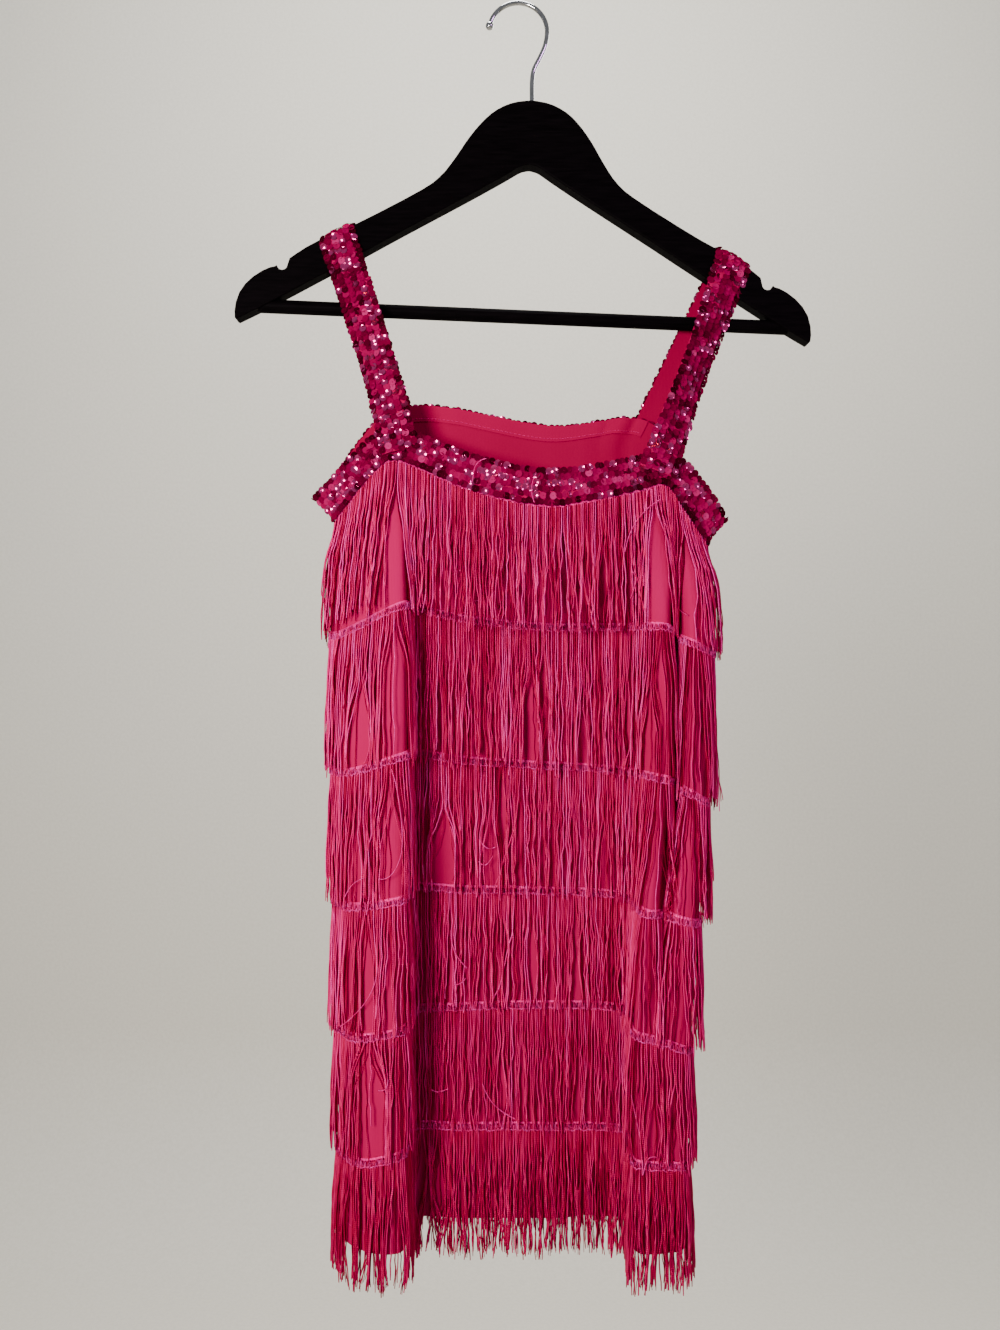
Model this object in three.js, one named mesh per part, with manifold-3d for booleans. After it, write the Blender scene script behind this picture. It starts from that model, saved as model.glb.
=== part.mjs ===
// A sleeveless flapper dress with six tiers of fringe and sequin trim, on a flat wooden hanger.
// Millimetres, +Z up, +X to the wearer's left as seen from the front, -Y to the viewer.
// The origin is where the hanger's hook rests on its nail: the inner top of the wire.

import * as THREE from "three";
import { mergeVertices } from "three/addons/utils/BufferGeometryUtils.js";
import Module from "manifold-3d";

const wasm = await Module();
wasm.setup();

// ---------------------------------------------------------------- driving dimensions

const GAP = 0.3; // between pieces that touch
const WALL = 1.6; // cloth of the two panels
const TRIM = 2.0; // sequin trim on its backing
const TAPE = 1.0; // heading tape of a fringe, and the neck facing
const TAPE_HEIGHT = 7;
const LAID_GAP = 0.6; // between the cloth and what lies on it, where both bend

// The hanger. Its outline is given from the crown: distance to the side, and drop.
const HANGER_TILT = THREE.MathUtils.degToRad(2.4);
const CROWN = { x: 9.3, z: -76.9 };
const HANGER_THICK = 14;
const HANGER_BEVEL = 1.2;
const SHOULDER_LINE = [
  [0, 0],
  [14.5, -2.3],
  [28, -9],
  [38.5, -19],
  [48, -31.5],
  [57, -46],
  [68, -61],
  [84, -73.5],
  [131, -100.5],
  [164, -117],
  [182, -129.5],
];
const NOTCH = { x: 187.6, z: -134.5, radius: 4.2 };
const ARM_END = [
  [193, -136.2],
  [200, -138.4],
  [211, -146],
  [219, -156],
  [222.6, -168],
  [222.4, -177],
];
const UNDER_LINE = [
  [221, -178],
  [207, -170.5],
  [188, -159.7],
  [130, -125.5],
  [95, -104.5],
  [45, -75],
  [18, -58.5],
  [7, -51.5],
  [0, -49.7],
];
const BAR = { z: -165.6, radius: 5.3, reach: 205 };

// The hook: an arc of wire, an S down to the shank, and a ball at its tip.
const WIRE_RADIUS = 1.8;
const HOOK_ARC = { x: -1.5, radius: 22.6, from: 168, to: -8 };
const HOOK_NECK = [
  [19.3, -32],
  [15.4, -41],
  [10.9, -50],
  [9.5, -58],
];
const HOOK_BALL = 3.1;

// The dress: one row for each level line of the cloth, from the hem up. x of the side edges, of the
// ridges under the straps and of the feet of those folds; y of the lobes' fronts, of the centre
// panel and of the back; z of the line at five places, because the cloth droops between the straps.
const LINES = [
  {
    name: "hem", seamShare: 0.56, rightSeamShare: 0.76, edgeY: -18,
    leftEdge: -138, leftRidge: -88.5, leftFoot: -84, leftLobe: -55, centre: -5,
    rightFoot: 83, footY: -7, rightRidge: 85, valley: 97, valleyY: -57, rightLobe: -55, rightEdge: 123,
    back: 23, z: { left: -940, ridge: -940, centre: -940, rightRidge: -940, right: -940 },
  },
  {
    name: "tier6", seamShare: 0.56, rightSeamShare: 0.76, edgeY: -18,
    leftEdge: -138, leftRidge: -88, leftFoot: -84, leftLobe: -55, centre: -5,
    rightFoot: 83, footY: -7, rightRidge: 84, valley: 97, valleyY: -57, rightLobe: -55, rightEdge: 125,
    back: 23, z: { left: -876, ridge: -869, centre: -869, rightRidge: -875, right: -878 },
  },
  {
    name: "tier5", seamShare: 0.58, rightSeamShare: 0.76, edgeY: -18,
    leftEdge: -139.5, leftRidge: -88, leftFoot: -84, leftLobe: -55, centre: -5,
    rightFoot: 83, footY: -7, rightRidge: 84, valley: 97, valleyY: -55, rightLobe: -54, rightEdge: 128,
    back: 23, z: { left: -785, ridge: -779, centre: -775, rightRidge: -782, right: -794 },
  },
  {
    name: "tier4", seamShare: 0.62, rightSeamShare: 0.78, edgeY: -18,
    leftEdge: -141, leftRidge: -87.5, leftFoot: -83.5, leftLobe: -54, centre: -6,
    rightFoot: 80, footY: -9, rightRidge: 92, valley: 106, valleyY: -47, rightLobe: -53, rightEdge: 133.5,
    back: 22, z: { left: -690, ridge: -684, centre: -687, rightRidge: -694, right: -702 },
  },
  {
    name: "tier3", seamShare: 0.7, rightSeamShare: 0.82, edgeY: -17,
    leftEdge: -142.5, leftRidge: -87, leftFoot: -83, leftLobe: -50, centre: -9,
    rightFoot: 70, footY: -11, rightRidge: 106, valley: 116, valleyY: -24, rightLobe: -46, rightEdge: 140,
    back: 20, z: { left: -592, ridge: -580, centre: -590, rightRidge: -597, right: -614 },
  },
  {
    name: "tier2", seamShare: 0.82, rightSeamShare: 0.88, edgeY: -12,
    leftEdge: -144, leftRidge: -88.5, leftFoot: -82, leftLobe: -40, centre: -15,
    rightFoot: 68, footY: -17, rightRidge: 107.5, valley: 117, valleyY: -20, rightLobe: -38, rightEdge: 144.5,
    back: 18, z: { left: -490, ridge: -469, centre: -484, rightRidge: -485, right: -504 },
  },
  {
    name: "bust", seamShare: 0.94, rightSeamShare: 0.95, edgeY: -5,
    leftEdge: -147, leftRidge: -92, leftFoot: -83, leftLobe: -29, centre: -24,
    rightFoot: 68, footY: -25, rightRidge: 108, valley: 117, valleyY: -20, rightLobe: -27, rightEdge: 148,
    back: 17, z: { left: -438, ridge: -408, centre: -430, rightRidge: -428, right: -454 },
  },
];

// The lower and the upper edge of the sequin bands, where neckline and armholes are cut.
const BAND_FOOT = {
  leftSeam: [-142, -8, -401], leftRidge: [-100, -17, -356], leftFoot: [-82, -20, -360],
  centreLeft: [-42, -28, -378], centre: [18, -31, -392], rightFoot: [62, -28, -386],
  rightRidge: [94, -21, -378], valley: [110, -17, -374], rightLobe: [126, -13, -394],
  rightSeam: [143, -8, -419], rightEdge: [130, 9, -399], backRight: [93, 16, -347],
  backCentre: [20, 17, -350], backLeft: [-88, 16, -337], leftEdge: [-128, 9, -382],
};
const NECK_EDGE = {
  leftSeam: [-158, -3, -383], leftRidge: [-100, -14, -331], leftFoot: [-80, -17, -337],
  centreLeft: [-38, -26, -355], centre: [18, -30, -367], rightFoot: [62, -26, -362],
  rightRidge: [94, -18, -354], valley: [113, -14, -349], rightLobe: [139, -9, -371],
  rightSeam: [158, -3, -399], rightEdge: [144, 9, -379], backRight: [102, 14, -321],
  backCentre: [28, 15, -324], backLeft: [-98, 14, -311], leftEdge: [-144, 9, -362],
};

// Places round the cloth, and how many stations lie between each and the next.
const PLACES = [
  ["leftSeam", 3], ["leftRidge", 4], ["leftFoot", 3], ["centreLeft", 3], ["centre", 3],
  ["rightFoot", 3], ["rightRidge", 3], ["valley", 3], ["rightLobe", 2], ["rightSeam", 3],
  ["rightEdge", 4], ["backRight", 5], ["backCentre", 5], ["backLeft", 4], ["leftEdge", 3],
];
const SEAM_TURN = 24; // how fast a side seam sinks from the lobe's front as it nears the side edge
const ROWS_BETWEEN_LINES = [1, 2, 3, 3, 3, 2, 2, 2];
const FACING_FOOT = 7.5; // the neck facing covers this far up from the band's lower edge to its top

// The fringe: locks that hang from a tape, each a flat three-sided wedge.
const LOCKS_PER_TIER = 41;
const LOCK = { share: 0.76, tipShare: 0.56, thick: 2, clear: 6, uneven: 5, mostLean: 9 };
const HOLLOW = 0.12; // the sharpest inward turn of the cloth that still has room for a lock
const STAND_OFF = [0, 1.5, 3]; // how much further out a lock may lean to clear a bulge below it
const FRINGE_END = -969;

// The shoulder straps: where each crosses the hanger's arm, and its two ends on the bands.
const STRAP = { width: 27, thick: TRIM, steps: 9, endLean: THREE.MathUtils.degToRad(17) };
const ARM_SLOPE = THREE.MathUtils.degToRad(26.5); // of the hanger's arms, before its tilt
const STRAP_TURN = [
  { aside: 1, up: -3 },
  { aside: 0.96, up: -0.6 },
  { aside: 0.8, up: 0.8 },
  { aside: 0.5, up: 1 },
];
const STRAPS = [
  { name: "left_strap", side: -1, onArm: 145.9, front: [-91.5, -23.3, -350], back: [-94, 20.5, -330] },
  { name: "right_strap", side: 1, onArm: 159.5, front: [103.5, -24.2, -366], back: [97, 20.5, -340] },
];

const COLOURS = { cloth: 0xc82257, fringe: 0xd8327a, trim: 0xa01050, wood: 0x17161a, chrome: 0xc8ccd0 };

// ---------------------------------------------------------------- materials

const fabric = (color, roughness) => new THREE.MeshStandardMaterial({ color, roughness, metalness: 0 });
const cloth = fabric(COLOURS.cloth, 0.8);
const fringeYarn = fabric(COLOURS.fringe, 0.45);
const sequins = new THREE.MeshStandardMaterial({ color: COLOURS.trim, roughness: 0.25, metalness: 0.6 });
const blackWood = fabric(COLOURS.wood, 0.6);
const chrome = new THREE.MeshStandardMaterial({ color: COLOURS.chrome, roughness: 0.15, metalness: 1 });

// ---------------------------------------------------------------- the cloth's surface

// The fifteen places of one level line, as points.
function linePoints(line) {
  const { z } = line;
  const point = (x, y, height) => new THREE.Vector3(x, y, height);
  const middle = (a, b, share) => a + (b - a) * share;
  const seamPoint = (inner, edge, lobe, share, least, height) =>
    point(middle(inner, edge, share), lobe + 3 + (share - least) * SEAM_TURN, height);
  return {
    leftSeam: seamPoint(line.leftRidge, line.leftEdge, line.leftLobe, line.seamShare, 0.56, z.left),
    leftRidge: point(line.leftRidge, line.leftLobe, z.ridge),
    leftFoot: point(line.leftFoot, line.centre, z.ridge),
    centreLeft: point(middle(line.leftFoot, 18, 0.4), line.centre, middle(z.ridge, z.centre, 0.6)),
    centre: point(18, line.centre, z.centre),
    rightFoot: point(line.rightFoot, line.footY, middle(z.centre, z.rightRidge, 0.4)),
    rightRidge: point(line.rightRidge, line.rightLobe, z.rightRidge),
    valley: point(line.valley, line.valleyY, middle(z.rightRidge, z.right, 0.3)),
    rightLobe: point(middle(line.valley, line.rightEdge, 0.36), line.rightLobe, middle(z.rightRidge, z.right, 0.6)),
    rightSeam: seamPoint(line.valley, line.rightEdge, line.rightLobe, line.rightSeamShare, 0.76, z.right),
    rightEdge: point(line.rightEdge, line.edgeY, z.right),
    backRight: point(line.rightEdge - 16, line.back - 2, z.right + 3),
    backCentre: point(0, line.back, z.centre),
    backLeft: point(line.leftEdge + 16, line.back - 2, z.left + 2),
    leftEdge: point(line.leftEdge, line.edgeY, z.left),
  };
}

const edgePoints = (edge) =>
  Object.fromEntries(Object.entries(edge).map(([place, at]) => [place, new THREE.Vector3(...at)]));

const levels = [...LINES.map(linePoints), edgePoints(BAND_FOOT), edgePoints(NECK_EDGE)];
const TOP = levels.length - 1;
const BAND = TOP - 1;

// Each place's own line up the cloth.
const upLines = PLACES.map(([place]) => new THREE.CatmullRomCurve3(levels.map((level) => level[place])));

// Rows of the cloth as heights in levels, and stations as shares of the way round.
const rows = ROWS_BETWEEN_LINES.flatMap((count, level) =>
  Array.from({ length: count }, (_, i) => level + i / count),
).concat(TOP);
const stations = PLACES.flatMap(([, count], place) =>
  Array.from({ length: count }, (_, i) => (place + i / count) / PLACES.length),
);
const stationOf = (name) => {
  const place = PLACES.findIndex(([other]) => other === name);
  return PLACES.slice(0, place).reduce((sum, [, count]) => sum + count, 0);
};

const grid = rows.map((row) => {
  const ring = upLines.map((line) => line.getPoint(row / TOP));
  const curve = new THREE.CatmullRomCurve3(ring, true);
  return stations.map((share) => curve.getPoint(share));
});

// The outward direction in plan at each grid point, longer at a sharp bend, so that a surface
// moved along it keeps its distance from the cloth on both sides of the bend.
const LONGEST_MITRE = 2;
const outward = grid.map((ring) =>
  ring.map((here, i) => {
    const ahead = ring[(i + 1) % ring.length];
    const behind = ring[(i + ring.length - 1) % ring.length];
    const side = (from, to) => new THREE.Vector3(to.y - from.y, from.x - to.x, 0).normalize();
    const before = side(behind, here);
    const mean = before.clone().add(side(here, ahead)).normalize();
    return mean.divideScalar(Math.max(mean.dot(before), 1 / LONGEST_MITRE));
  }),
);

// A value of a grid at a station and a height that need not be whole.
function sample(values, station, row) {
  const count = stations.length;
  const whole = Math.floor(station);
  const beside = station - whole;
  const at = (j, i) => values[j][((i % count) + count) % count];
  const top = rows.length - 1;
  let j = 0;
  while (j < top - 1 && rows[j + 1] <= row) j += 1;
  const up = (row - rows[j]) / (rows[j + 1] - rows[j]);
  const low = at(j, whole).clone().lerp(at(j, whole + 1), beside);
  const high = at(j + 1, whole).clone().lerp(at(j + 1, whole + 1), beside);
  return low.lerp(high, up);
}

// A point on the cloth, moved out, and moved along the line round the body.
function onCloth(station, row, out, along = 0) {
  const normal = sample(outward, station, row);
  const forward = new THREE.Vector3(-normal.y, normal.x, 0).normalize();
  return sample(grid, station, row).addScaledVector(normal, out).addScaledVector(forward, along);
}

// ---------------------------------------------------------------- solids

function solidFrom(vertices, faces) {
  const geometry = new THREE.BufferGeometry();
  geometry.setAttribute("position", new THREE.Float32BufferAttribute(vertices.flatMap((v) => v.toArray()), 3));
  geometry.setIndex(faces.flat());
  return geometry;
}

// A wall between two nets of points: outside(i, j) and inside(i, j), i round the body and j up.
function wallSolid(columns, levelsUp, outside, inside, closed = false) {
  const vertices = [];
  const faces = [];
  for (let i = 0; i < columns; i += 1) {
    for (let j = 0; j < levelsUp; j += 1) vertices.push(outside(i, j), inside(i, j));
  }
  const outer = (i, j) => 2 * ((i % columns) * levelsUp + j);
  const inner = (i, j) => outer(i, j) + 1;
  const quad = (a, b, c, d) => faces.push([a, b, c], [a, c, d]);
  const top = levelsUp - 1;
  const spans = closed ? columns : columns - 1;
  for (let i = 0; i < spans; i += 1) {
    for (let j = 0; j < top; j += 1) {
      quad(outer(i, j), outer(i + 1, j), outer(i + 1, j + 1), outer(i, j + 1));
      quad(inner(i, j), inner(i, j + 1), inner(i + 1, j + 1), inner(i + 1, j));
    }
    quad(outer(i, 0), inner(i, 0), inner(i + 1, 0), outer(i + 1, 0));
    quad(outer(i, top), outer(i + 1, top), inner(i + 1, top), inner(i, top));
  }
  if (!closed) {
    for (let j = 0; j < top; j += 1) {
      quad(outer(0, j), outer(0, j + 1), inner(0, j + 1), inner(0, j));
      quad(outer(spans, j), inner(spans, j), inner(spans, j + 1), outer(spans, j + 1));
    }
  }
  return solidFrom(vertices, faces);
}

// A piece that follows the cloth from one place to another, between two heights.
function clothPiece(from, to, bottom, top, inOffset, outOffset) {
  const first = stationOf(from);
  const last = stationOf(to) > first ? stationOf(to) : stationOf(to) + stations.length;
  const heights = [bottom, ...rows.filter((row) => row > bottom && row < top), top];
  const inset = (station, row, toward) =>
    (toward * GAP) / 2 / sample(grid, station, row).distanceTo(sample(grid, station + toward, row));
  const net = (out) => (i, j) => {
    const toward = i === 0 ? 1 : i === last - first ? -1 : 0;
    const shift = toward === 0 ? 0 : inset(first + i, heights[j], toward);
    return onCloth(first + i + shift, heights[j], out);
  };
  return wallSolid(last - first + 1, heights.length, net(outOffset), net(inOffset));
}

function toManifold(geometry) {
  const bare = geometry.clone();
  bare.deleteAttribute("normal");
  bare.deleteAttribute("uv");
  const merged = mergeVertices(bare, 1e-3);
  return new wasm.Manifold(
    new wasm.Mesh({
      numProp: 3,
      vertProperties: merged.attributes.position.array,
      triVerts: new Uint32Array(merged.index.array),
    }),
  );
}

function fromManifold(solid) {
  const mesh = solid.getMesh();
  const geometry = new THREE.BufferGeometry();
  geometry.setAttribute("position", new THREE.BufferAttribute(mesh.vertProperties, 3));
  geometry.setIndex(new THREE.BufferAttribute(mesh.triVerts, 1));
  return geometry;
}

const dress = new THREE.Group();

function add(group, name, geometry, material) {
  geometry.computeVertexNormals();
  const mesh = new THREE.Mesh(geometry, material);
  mesh.name = name;
  group.add(mesh);
}

// ---------------------------------------------------------------- panels, bands and facing

function addPanels() {
  add(dress, "front_panel", clothPiece("leftSeam", "rightSeam", 0, TOP, -WALL, 0), cloth);
  add(dress, "back_panel", clothPiece("rightSeam", "leftSeam", 0, TOP, -WALL, 0), cloth);
}

function addBands() {
  const band = (from, to) => clothPiece(from, to, BAND, TOP, LAID_GAP, LAID_GAP + TRIM);
  add(dress, "front_neck_band", band("leftRidge", "valley"), sequins);
  add(dress, "right_underarm_band", band("valley", "backRight"), sequins);
  add(dress, "back_neck_band", band("backRight", "backLeft"), sequins);
  add(dress, "left_underarm_band", band("backLeft", "leftRidge"), sequins);
  const inside = -WALL - GAP;
  const facing = clothPiece("backRight", "backLeft", FACING_FOOT, TOP, inside - TAPE, inside);
  add(dress, "back_neck_facing", facing, cloth);
}

// ---------------------------------------------------------------- fringe

// How sharply the cloth turns inwards at a station of a row, as the sine of the turn.
function hollowness(station, row) {
  const reach = 0.7;
  const before = sample(outward, station - reach, row).normalize();
  const after = sample(outward, station + reach, row).normalize();
  return after.x * before.y - after.y * before.x;
}

// The height in levels at which a station's line up the cloth reaches z, from a level down.
function levelAt(station, from, z) {
  let low = 0;
  let high = from;
  for (let halving = 0; halving < 24; halving += 1) {
    const middle = (low + high) / 2;
    if (sample(grid, station, middle).z < z) low = middle;
    else high = middle;
  }
  return (low + high) / 2;
}

// Stations at equal distances in plan round a level line, and that distance.
function evenStations(level, count) {
  const ring = Array.from({ length: stations.length + 1 }, (_, i) => sample(grid, i, level).setZ(0));
  const lengths = [0];
  for (let i = 1; i < ring.length; i += 1) lengths.push(lengths[i - 1] + ring[i].distanceTo(ring[i - 1]));
  const whole = lengths[lengths.length - 1];
  const places = Array.from({ length: count }, (_, k) => {
    const target = ((k + 0.5) / count) * whole;
    const i = lengths.findIndex((length) => length > target) - 1;
    return i + (target - lengths[i]) / (lengths[i + 1] - lengths[i]);
  });
  return { places, pitch: whole / count };
}

// The top tier's tape lies just below the bands; the others are centred on their lines.
function tapeMiddle(station, level) {
  const below = level === BAND ? TAPE_HEIGHT / 2 + 3 * GAP : 0;
  return sample(grid, station, level).z - below;
}

function tapeSolid(level) {
  const net = (out) => (i, j) => {
    const z = tapeMiddle(i, level) + TAPE_HEIGHT * (j - 0.5);
    return onCloth(i, levelAt(i, TOP, z), out);
  };
  return wallSolid(stations.length, 2, net(LAID_GAP + TAPE), net(LAID_GAP), true);
}

// How far a straight lock's tip has to stand off for the whole lock to clear the cloth.
function tipClearance(station, level, root, tip, halfWidth) {
  const normal = sample(outward, station, level).normalize();
  const pitch = sample(grid, station, level).distanceTo(sample(grid, station + 1, level));
  const shares = [0.25, 0.5, 0.75, 1];
  const sides = [-1, 0, 1].map((side) => station + (side * halfWidth) / pitch);
  const needed = shares.flatMap((share) =>
    sides.map((place) => {
      const z = THREE.MathUtils.lerp(root.z, tip.z, share);
      const cloth = sample(grid, place, levelAt(place, level, z));
      const bulge = cloth.sub(root.clone().lerp(tip, share)).dot(normal);
      return (bulge + LAID_GAP - LAID_GAP * (1 - share)) / share;
    }),
  );
  return Math.max(LAID_GAP + TAPE, ...needed);
}

// One lock: three corners at its root on the tape, and three at its tip.
function lockSolid(station, level, lower, number, pitch, stretch) {
  const wave = Math.sin(number * 2.4 + level);
  const top = tapeMiddle(station, level) - TAPE_HEIGHT * 0.1;
  const end = lower === null ? FRINGE_END : sample(grid, station, lower).z + LOCK.clear;
  const bottom = end + LOCK.uneven * (1 - wave) * 0.5;
  const ends = [
    { z: top, width: pitch * LOCK.share, thick: TAPE },
    { z: bottom, width: pitch * LOCK.tipShare, thick: LOCK.thick },
  ];
  const place = (z, along, out) => {
    const point = onCloth(station, levelAt(station, level, z), out, along);
    point.z = z;
    return point;
  };
  const [root, tip] = ends.map(({ z }) => place(z, 0, 0));
  const standOff = tipClearance(station, level, root, tip, ends[0].width / 2) + stretch;
  if (standOff > LOCK.mostLean) return null;
  const outs = [LAID_GAP + 0.4, standOff];
  const vertices = ends.flatMap(({ z, width, thick }, i) => [
    place(z, -width / 2, outs[i]),
    place(z, width / 2, outs[i]),
    place(z, 0, outs[i] + thick),
  ]);
  const faces = [[0, 2, 1], [3, 4, 5]];
  for (let k = 0; k < 3; k += 1) {
    const next = (k + 1) % 3;
    faces.push([k, next, next + 3], [k, next + 3, k + 3]);
  }
  return solidFrom(vertices, faces);
}

function addFringe() {
  const walls = dress.children.map((piece) => toManifold(piece.geometry));
  const tierLevels = [BAND, 5, 4, 3, 2, 1];
  tierLevels.forEach((level, tier) => {
    const lower = tierLevels[tier + 1] ?? null;
    let fringe = toManifold(tapeSolid(level));
    const { places, pitch } = evenStations(level, LOCKS_PER_TIER);
    places.forEach((station, number) => {
      if (hollowness(station, level) > HOLLOW) return;
      const tries = STAND_OFF.map((stretch) => lockSolid(station, level, lower, number, pitch, stretch));
      const locks = tries.filter(Boolean).map(toManifold);
      const lock = locks.find((made) => walls.every((wall) => made.intersect(wall).isEmpty()));
      if (lock) fringe = fringe.add(lock);
    });
    add(dress, `fringe_tier_${tier + 1}`, fromManifold(fringe), fringeYarn);
  });
}

// ---------------------------------------------------------------- hanger

// A point of the hanger's outline, tilted as it hangs, in the front view's plane.
function hangerPoint(distance, drop) {
  const cos = Math.cos(HANGER_TILT);
  const sin = Math.sin(HANGER_TILT);
  return { x: CROWN.x + distance * cos + drop * sin, z: CROWN.z - distance * sin + drop * cos };
}

function smooth(points, count) {
  const curve = new THREE.SplineCurve(points.map(([x, z]) => new THREE.Vector2(x, z)));
  return curve.getPoints(count);
}

function notchPoints() {
  const steps = 6;
  return Array.from({ length: steps + 1 }, (_, i) => {
    const angle = Math.PI * (1 + (i / steps) * 0.95);
    return new THREE.Vector2(
      NOTCH.x + NOTCH.radius * Math.cos(angle),
      NOTCH.z + NOTCH.radius * Math.sin(angle),
    );
  });
}

function hangerOutline() {
  const half = [
    ...smooth(SHOULDER_LINE, 26),
    ...notchPoints(),
    ...smooth(ARM_END, 8),
    ...smooth(UNDER_LINE, 20),
  ];
  const mirrored = half.slice(1, -1).reverse().map((p) => new THREE.Vector2(-p.x, p.y));
  return [...half, ...mirrored];
}

// A shape drawn in x and z becomes a plate that is centred on y = 0.
function plate(outline, thick, bevel) {
  const geometry = new THREE.ExtrudeGeometry(new THREE.Shape(outline), {
    depth: thick - 2 * bevel,
    bevelEnabled: true,
    bevelThickness: bevel,
    bevelSize: bevel,
    bevelOffset: -bevel,
    bevelSegments: 2,
  });
  geometry.translate(0, 0, bevel - thick / 2);
  return geometry.rotateX(Math.PI / 2);
}

function rod(radius, length) {
  return new THREE.CylinderGeometry(radius, radius, length, 20).rotateZ(Math.PI / 2);
}

function addHanger() {
  const hanger = new THREE.Group();
  hanger.position.set(CROWN.x, 0, CROWN.z);
  hanger.rotation.y = HANGER_TILT;
  const pocket = rod(BAR.radius + GAP, 2 * (BAR.reach + GAP)).translate(0, 0, BAR.z);
  const body = toManifold(plate(hangerOutline(), HANGER_THICK, HANGER_BEVEL)).subtract(toManifold(pocket));
  add(hanger, "hanger_body", fromManifold(body), blackWood);
  add(hanger, "hanger_bar", rod(BAR.radius, 2 * BAR.reach).translate(0, 0, BAR.z), blackWood);
  dress.add(hanger);
}

// The wire's centre line: round the arc, down the neck and straight into the crown.
function hookLine() {
  const arcSteps = 12;
  const centre = WIRE_RADIUS - HOOK_ARC.radius;
  const arc = Array.from({ length: arcSteps + 1 }, (_, i) => {
    const angle = THREE.MathUtils.degToRad(HOOK_ARC.from + ((HOOK_ARC.to - HOOK_ARC.from) * i) / arcSteps);
    return new THREE.Vector3(
      HOOK_ARC.x + HOOK_ARC.radius * Math.cos(angle),
      0,
      centre + HOOK_ARC.radius * Math.sin(angle),
    );
  });
  const neck = HOOK_NECK.map(([x, z]) => new THREE.Vector3(x, 0, z));
  const foot = new THREE.Vector3(CROWN.x, 0, CROWN.z + GAP + 0.1);
  return [...arc, ...neck, foot];
}

function addHook() {
  const points = hookLine();
  const section = new THREE.Shape().absarc(0, 0, WIRE_RADIUS, 0, 2 * Math.PI);
  const wire = new THREE.ExtrudeGeometry(section, {
    extrudePath: new THREE.CatmullRomCurve3(points),
    steps: 36,
    curveSegments: 5,
  });
  const ball = new THREE.SphereGeometry(HOOK_BALL, 12, 8).translate(...points[0].toArray());
  const hook = toManifold(wire).add(toManifold(ball));
  add(dress, "hanger_hook", fromManifold(hook), chrome);
}

// ---------------------------------------------------------------- shoulder straps

// How far below its crown the hanger's shoulder line is, at a distance to the side.
function shoulderDrop(distance) {
  const next = SHOULDER_LINE.findIndex(([x]) => x > distance);
  const [innerX, innerZ] = SHOULDER_LINE[next - 1];
  const [outerX, outerZ] = SHOULDER_LINE[next];
  return THREE.MathUtils.mapLinear(distance, innerX, outerX, innerZ, outerZ);
}

// The middle of the strap at each step: up the front, over the arm, down the back.
function strapLine({ side, onArm, front, back }) {
  const arm = hangerPoint(side * onArm, shoulderDrop(onArm));
  const over = HANGER_THICK / 2 + 3 * GAP + STRAP.thick / 2;
  const above = STRAP.thick / 2 + 2 * GAP;
  const quarter = (direction) => STRAP_TURN.map(({ aside, up }) =>
    new THREE.Vector3(arm.x, direction * over * aside, arm.z + above * up));
  const turn = [...quarter(-1), ...quarter(1).reverse()];
  const run = (from, to) =>
    Array.from({ length: STRAP.steps }, (_, i) =>
      new THREE.Vector3(...from).lerp(to, i / STRAP.steps));
  const up = run(front, turn[0]);
  const down = run(back, turn[turn.length - 1]).reverse();
  return [...up, ...turn, ...down];
}

// The strap leans with the hanger's arm where it crosses it, and less at its two sewn ends.
function strapSolid(strap) {
  const line = strapLine(strap);
  const last = line.length - 1;
  const sections = line.map((middle, i) => {
    const forward = line[Math.min(i + 1, last)].clone().sub(line[Math.max(i - 1, 0)]).normalize();
    const share = Math.min(1, Math.min(i, last - i) / STRAP.steps);
    const lean = THREE.MathUtils.lerp(STRAP.endLean, ARM_SLOPE + strap.side * HANGER_TILT, share);
    const across = new THREE.Vector3(-Math.cos(lean), 0, strap.side * Math.sin(lean));
    across.addScaledVector(forward, -across.dot(forward) * (1 - share)).normalize();
    const normal = new THREE.Vector3().crossVectors(forward, across).normalize();
    return { middle, across, normal };
  });
  const columns = 3;
  const net = (out) => (j, i) => {
    const { middle, across, normal } = sections[i];
    const aside = (0.5 - j / (columns - 1)) * STRAP.width;
    return middle.clone().addScaledVector(across, aside).addScaledVector(normal, out);
  };
  return wallSolid(columns, line.length, net(STRAP.thick / 2), net(-STRAP.thick / 2));
}

function addStraps() {
  STRAPS.forEach((strap) => add(dress, strap.name, strapSolid(strap), sequins));
}

addPanels();
addBands();
addFringe();
addHanger();
addHook();
addStraps();

export default dress;
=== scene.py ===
"""A sleeveless flapper dress with six tiers of fringe and sequin trim, on a flat wooden hanger.

Shapes are worked out in millimetres, in the CAD model's frame, and add_mesh() makes them metres.
"""

import math

import bpy
import numpy as np
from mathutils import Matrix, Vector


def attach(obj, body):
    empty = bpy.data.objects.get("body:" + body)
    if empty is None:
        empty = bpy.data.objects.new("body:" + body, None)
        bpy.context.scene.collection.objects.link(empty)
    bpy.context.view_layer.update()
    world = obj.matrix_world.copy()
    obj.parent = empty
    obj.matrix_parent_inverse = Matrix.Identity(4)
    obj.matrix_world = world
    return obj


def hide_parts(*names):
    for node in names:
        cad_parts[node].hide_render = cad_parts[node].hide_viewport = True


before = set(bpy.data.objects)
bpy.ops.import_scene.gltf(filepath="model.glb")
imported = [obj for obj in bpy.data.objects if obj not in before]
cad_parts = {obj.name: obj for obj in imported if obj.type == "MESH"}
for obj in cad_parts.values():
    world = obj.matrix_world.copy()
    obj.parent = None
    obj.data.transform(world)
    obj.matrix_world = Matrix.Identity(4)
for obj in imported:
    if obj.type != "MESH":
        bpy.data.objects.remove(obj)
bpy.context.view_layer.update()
rng = np.random.default_rng(26)

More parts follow.
